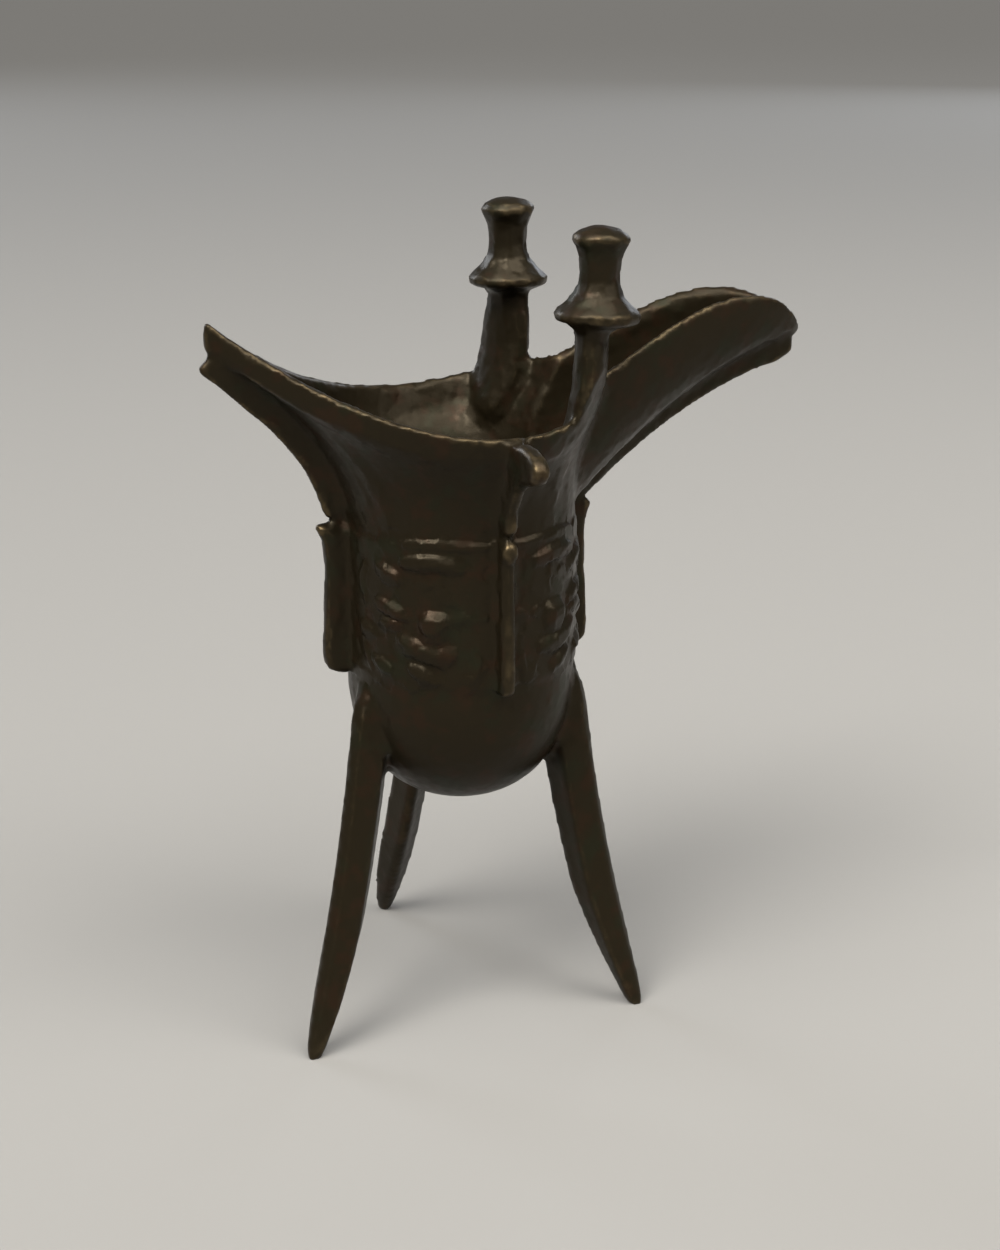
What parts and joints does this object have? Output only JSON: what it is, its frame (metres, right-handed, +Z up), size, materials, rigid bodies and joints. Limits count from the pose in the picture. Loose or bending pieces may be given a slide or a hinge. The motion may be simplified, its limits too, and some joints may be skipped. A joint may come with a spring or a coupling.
{
  "type": "jue wine vessel",
  "caption": "Cast bronze tripod wine vessel: a round-bottomed cup with a long open spout, a pointed tail, capped rim posts, raised flanges, a strap handle and blade legs.",
  "frame": {"origin": "middle of the vessel's outline from above, at the level of the three feet", "axes": "+Z up, +X towards the spout, +Y towards the handle"},
  "size_m": [0.172, 0.1186, 0.2232],
  "materials": {
    "bronze": "dark brown-olive patinated cast bronze, semi-gloss, worn paler along the rim and edges"
  },
  "bodies": {
    "root": {"jue": "bronze"}
  },
  "joints": []
}
